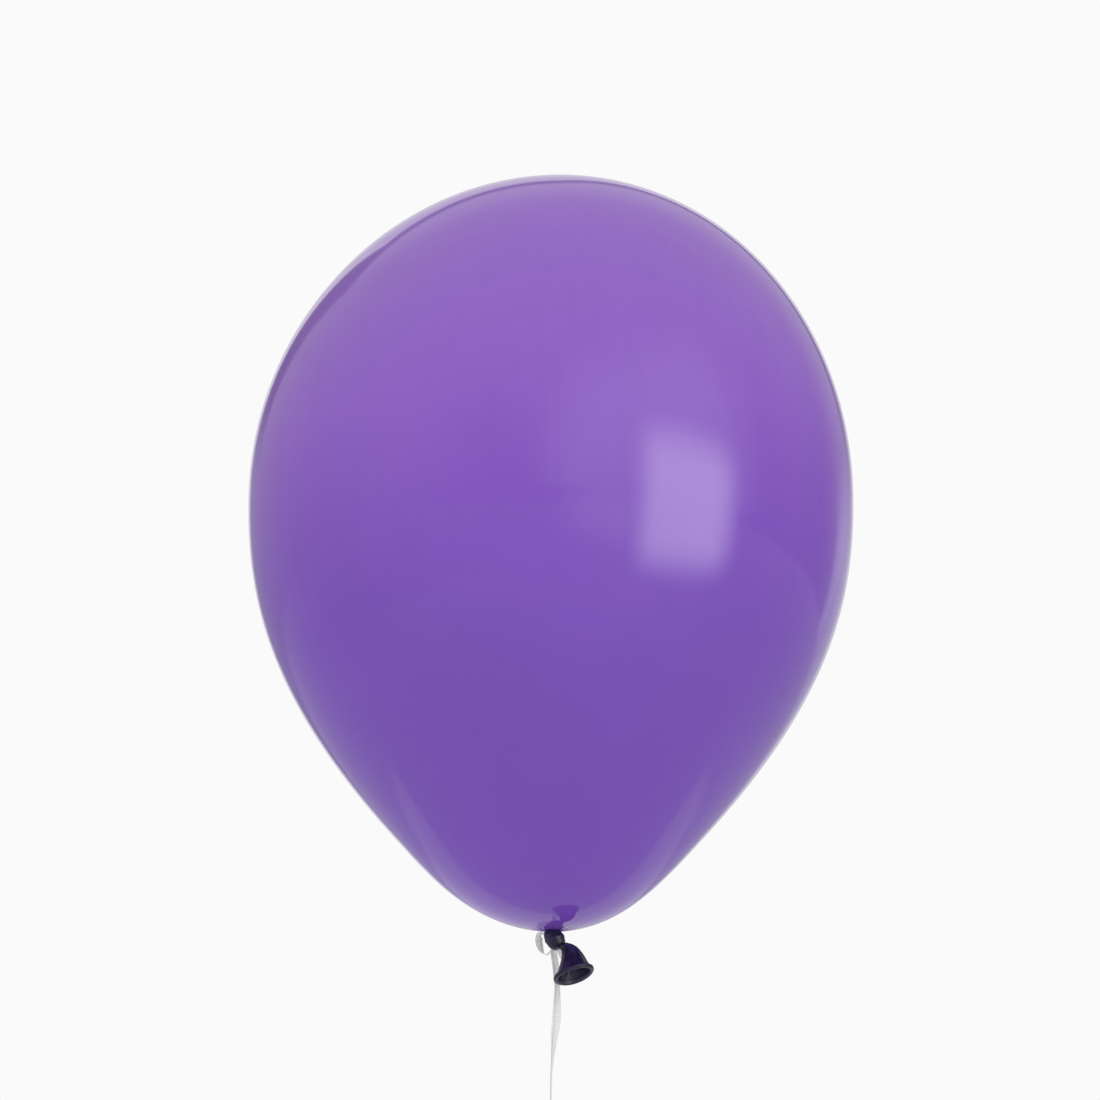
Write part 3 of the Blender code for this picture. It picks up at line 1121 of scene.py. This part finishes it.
# ---- studio ---------------------------------------------------------------------------
@dataclass
class Studio:
    """A plain white studio with a lit panel and three hidden lamps, and the camera."""

    aim_point: Vector = Vector((-0.0005, 0.0, 0.3366))
    distance: float = 2.0
    elevation: float = math.radians(-13.0)
    view_height: float = 0.54545
    sensor: float = 36.0
    floor_height: float = -0.75
    floor_radius: float = 30.0
    paper_glow: float = 0.28
    paper_lift: float = 0.01
    white: float = 0.956
    backdrop_light: float = 0.86
    seam_light: float = 0.45
    lit_spot: Vector = Vector((0.061, -0.135, 0.329))
    panel_way: Vector = Vector((0.799, -0.602, 0.0))
    panel_away: float = 1.5
    lamp_away: float = 2.6
    lamp_size: float = 1.6
    lamps: tuple[tuple[str, Vector, float], ...] = (
        ("high_key", Vector((0.10, -0.75, 0.65)), 10.0),
        ("right_fill", Vector((0.80, -0.60, 0.40)), 14.5),
        ("left_fill", Vector((-0.90, -0.50, 0.15)), 11.0),
    )

    def hang_camera(self) -> None:
        """Place the camera in front of the balloon and below its middle."""
        lens = bpy.data.cameras.new("camera")
        lens.sensor_width = self.sensor
        lens.lens = self.sensor * self.distance / self.view_height
        eye = bpy.data.objects.new("camera", lens)
        back = Vector((0.0, -math.cos(self.elevation), math.sin(self.elevation)))
        eye.location = self.aim_point + back * self.distance
        eye.rotation_mode = "QUATERNION"
        eye.rotation_quaternion = (-back).to_track_quat("-Z", "Y")
        bpy.context.scene.collection.objects.link(eye)
        bpy.context.scene.camera = eye

    def lay_floor(self) -> None:
        """Lay the pale floor far below the balloon, and the lit paper that its base reflects."""
        shape = bmesh.new()
        bmesh.ops.create_circle(shape, cap_ends=True, segments=96, radius=self.floor_radius)
        bmesh.ops.translate(shape, vec=(0.0, 0.0, self.floor_height), verts=shape.verts)
        floor = dressed("floor", shape, MattPaint().make(), None)
        sheet = bmesh.new()
        bmesh.ops.create_grid(sheet, x_segments=1, y_segments=1, size=1.0)
        bmesh.ops.scale(sheet, vec=(1.4, 3.6, 1.0), verts=sheet.verts)
        place = (0.0, 4.3, self.floor_height + self.paper_lift)
        bmesh.ops.translate(sheet, vec=place, verts=sheet.verts)
        paper = dressed("backdrop_paper", sheet, MattPaint(glow=self.paper_glow).make(), None)
        paper.visible_camera = False

    def paint_room(self) -> None:
        """Paint the room: white to the eye; in reflections a backdrop, gaps and pale walls."""
        world = bpy.data.worlds.new("room")
        bpy.context.scene.world = world
        world.use_nodes = True
        graph = Graph(world.node_tree)
        way = graph.node("ShaderNodeTexCoord", output="Generated")
        right, ahead, up = (
            graph.node("ShaderNodeSeparateXYZ", None, {0: way}, axis) for axis in ("X", "Y", "Z")
        )
        facing = ahead.ease(0.02, 0.10)
        across, rise = right / ahead, up / ahead
        top = rise + across.positive() * 1.5
        left_side = across + rise * 0.27
        backdrop = facing * top.ease(0.905, 0.855) * left_side.ease(-0.235, -0.200)
        backdrop = backdrop * across.ease(0.36, 0.26)
        side_panel = facing * across.ease(0.95, 0.80) * across.ease(0.20, 0.30)
        side_panel = side_panel * rise.ease(0.36, 0.16)
        gap = facing * top.ease(1.09, 1.03) * (across + rise * 0.38).ease(-0.49, -0.41)
        gap = gap * across.ease(0.55, 0.35) * rise.ease(0.25, 0.45)
        shade = facing * across.ease(0.80, 1.25) * across.ease(4.0, 1.5) * rise.ease(1.4, 0.2)
        shade = shade * rise.ease(-0.1, 0.35)
        strip = facing * top.ease(1.03, 1.10) * top.ease(2.6, 1.3) * across.ease(-1.1, -0.5)
        room = 0.26 + up.ease(-0.1, 0.95) * 0.34
        room = room + right.ease(0.35, -1.0) * 0.14 + right.ease(-0.5, -1.0) * 0.10
        light = room * (1.0 - gap * 0.65) * (1.0 - shade * 0.22)
        light = light + side_panel * 0.40 + strip * 0.12
        light = light + backdrop * (self.backdrop_light - light)
        seam = backdrop * top.ease(0.82, 0.86) + backdrop * left_side.ease(-0.17, -0.20)
        light = light + seam * self.seam_light
        east, north, _ = self.panel_way
        toward = right * east + ahead * north
        aside, over = (ahead * east - right * north) / toward, up / toward
        wall = aside.ease(-2.0, -0.7) * aside.ease(0.75, 0.0)
        wall = wall * over.ease(1.3, 0.2) * over.ease(-0.03, 0.08)
        light = light + toward.ease(0.05, 0.25) * wall * 0.9
        seen = graph.node("ShaderNodeLightPath", output="Is Camera Ray")
        plain = light + seen * (self.white - light)
        colour = graph.node("ShaderNodeCombineColor", None, {0: plain, 1: plain, 2: plain})
        graph.surface(graph.node("ShaderNodeBackground", None, {"Color": colour, "Strength": 1.0}))

    def place_lamp(self, name: str, way: Vector, power: float) -> None:
        """Place a square lamp that faces the balloon and shows in no reflection.

        Args:
            name: the lamp's name.
            way: direction from the balloon to the lamp.
            power: in watts.
        """
        lamp = bpy.data.lights.new(name, "AREA")
        lamp.shape = "SQUARE"
        lamp.size = self.lamp_size
        lamp.energy = power
        item = bpy.data.objects.new(name, lamp)
        item.location = self.lit_spot + way.normalized() * self.lamp_away
        item.rotation_mode = "QUATERNION"
        item.rotation_quaternion = way.to_track_quat("Z", "Y")
        item.visible_camera = False
        item.visible_glossy = False
        bpy.context.scene.collection.objects.link(item)

    def hang_panel(self) -> None:
        """Hang the soft panel of light at the right, facing the balloon."""
        away = self.panel_away
        sheet = bmesh.new()
        share = sheet.verts.layers.float.new("share")
        bmesh.ops.create_grid(sheet, x_segments=96, y_segments=48, size=0.5 * away)
        for corner in sheet.verts:
            corner.co.x = corner.co.x * 1.95 - 0.475 * away
            aside, height = corner.co.x / away, corner.co.y / away
            over = height / (1.0 - 0.40 * aside)
            low = smooth_share(aside, -1.4, -0.7) * smooth_share(aside, 0.5, 0.0)
            low *= smooth_share(height, -0.50, -0.12) * smooth_share(height, 0.08, -0.03)
            across = smooth_share(aside, -0.47, -0.21) * smooth_share(aside, 0.47, 0.17)
            window = across * smooth_share(over, 0.38, 0.14) * smooth_share(over, -0.48, -0.18)
            corner[share] = window + 0.18 * low * (1.0 - window)
        turn = self.panel_way.to_track_quat("Z", "Y").to_matrix().to_4x4()
        place = Matrix.Translation(self.lit_spot + self.panel_way * away) @ turn
        bmesh.ops.transform(sheet, matrix=place, verts=sheet.verts)
        panel = dressed("lit_panel", sheet, LitPanel().make(), None)
        panel.visible_camera = False
        panel.visible_diffuse = False

    def build(self) -> None:
        """Make the floor, the room and the lamps, and set plain colours for the picture."""
        self.lay_floor()
        self.paint_room()
        self.hang_panel()
        for name, way, power in self.lamps:
            self.place_lamp(name, way, power)
        bpy.context.scene.view_settings.view_transform = "Standard"


def main() -> None:
    """Build the object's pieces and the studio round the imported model."""
    logging.basicConfig(level=logging.INFO, format="%(message)s")
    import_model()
    low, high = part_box("balloon_skin")
    LOG.info("skin stands from %.4f to %.4f m", low.z, high.z)
    studio = Studio()
    studio.hang_camera()
    Ribbon(RibbonFilm().make()).build()
    neck = Vector((0.0008, 0.0, low.z))
    crown = Vector((0.0048, 0.0, high.z))
    BlownBody(StretchedLatex(low.z, high.z, neck, crown)).build()
    slack = SlackLatex().make()
    centre = Vector((0.0018, -0.0016, 0.1428))
    waist = Vector((0.0066, -0.0030, 0.1390))
    KnottedNeck(slack, neck, centre, Vector((0.47, -0.16, -0.87)).normalized()).build()
    FlaredMouth(slack, waist, Vector((0.0109, -0.0072, 0.1249))).build()
    studio.build()


if __name__ == "__main__":
    main()
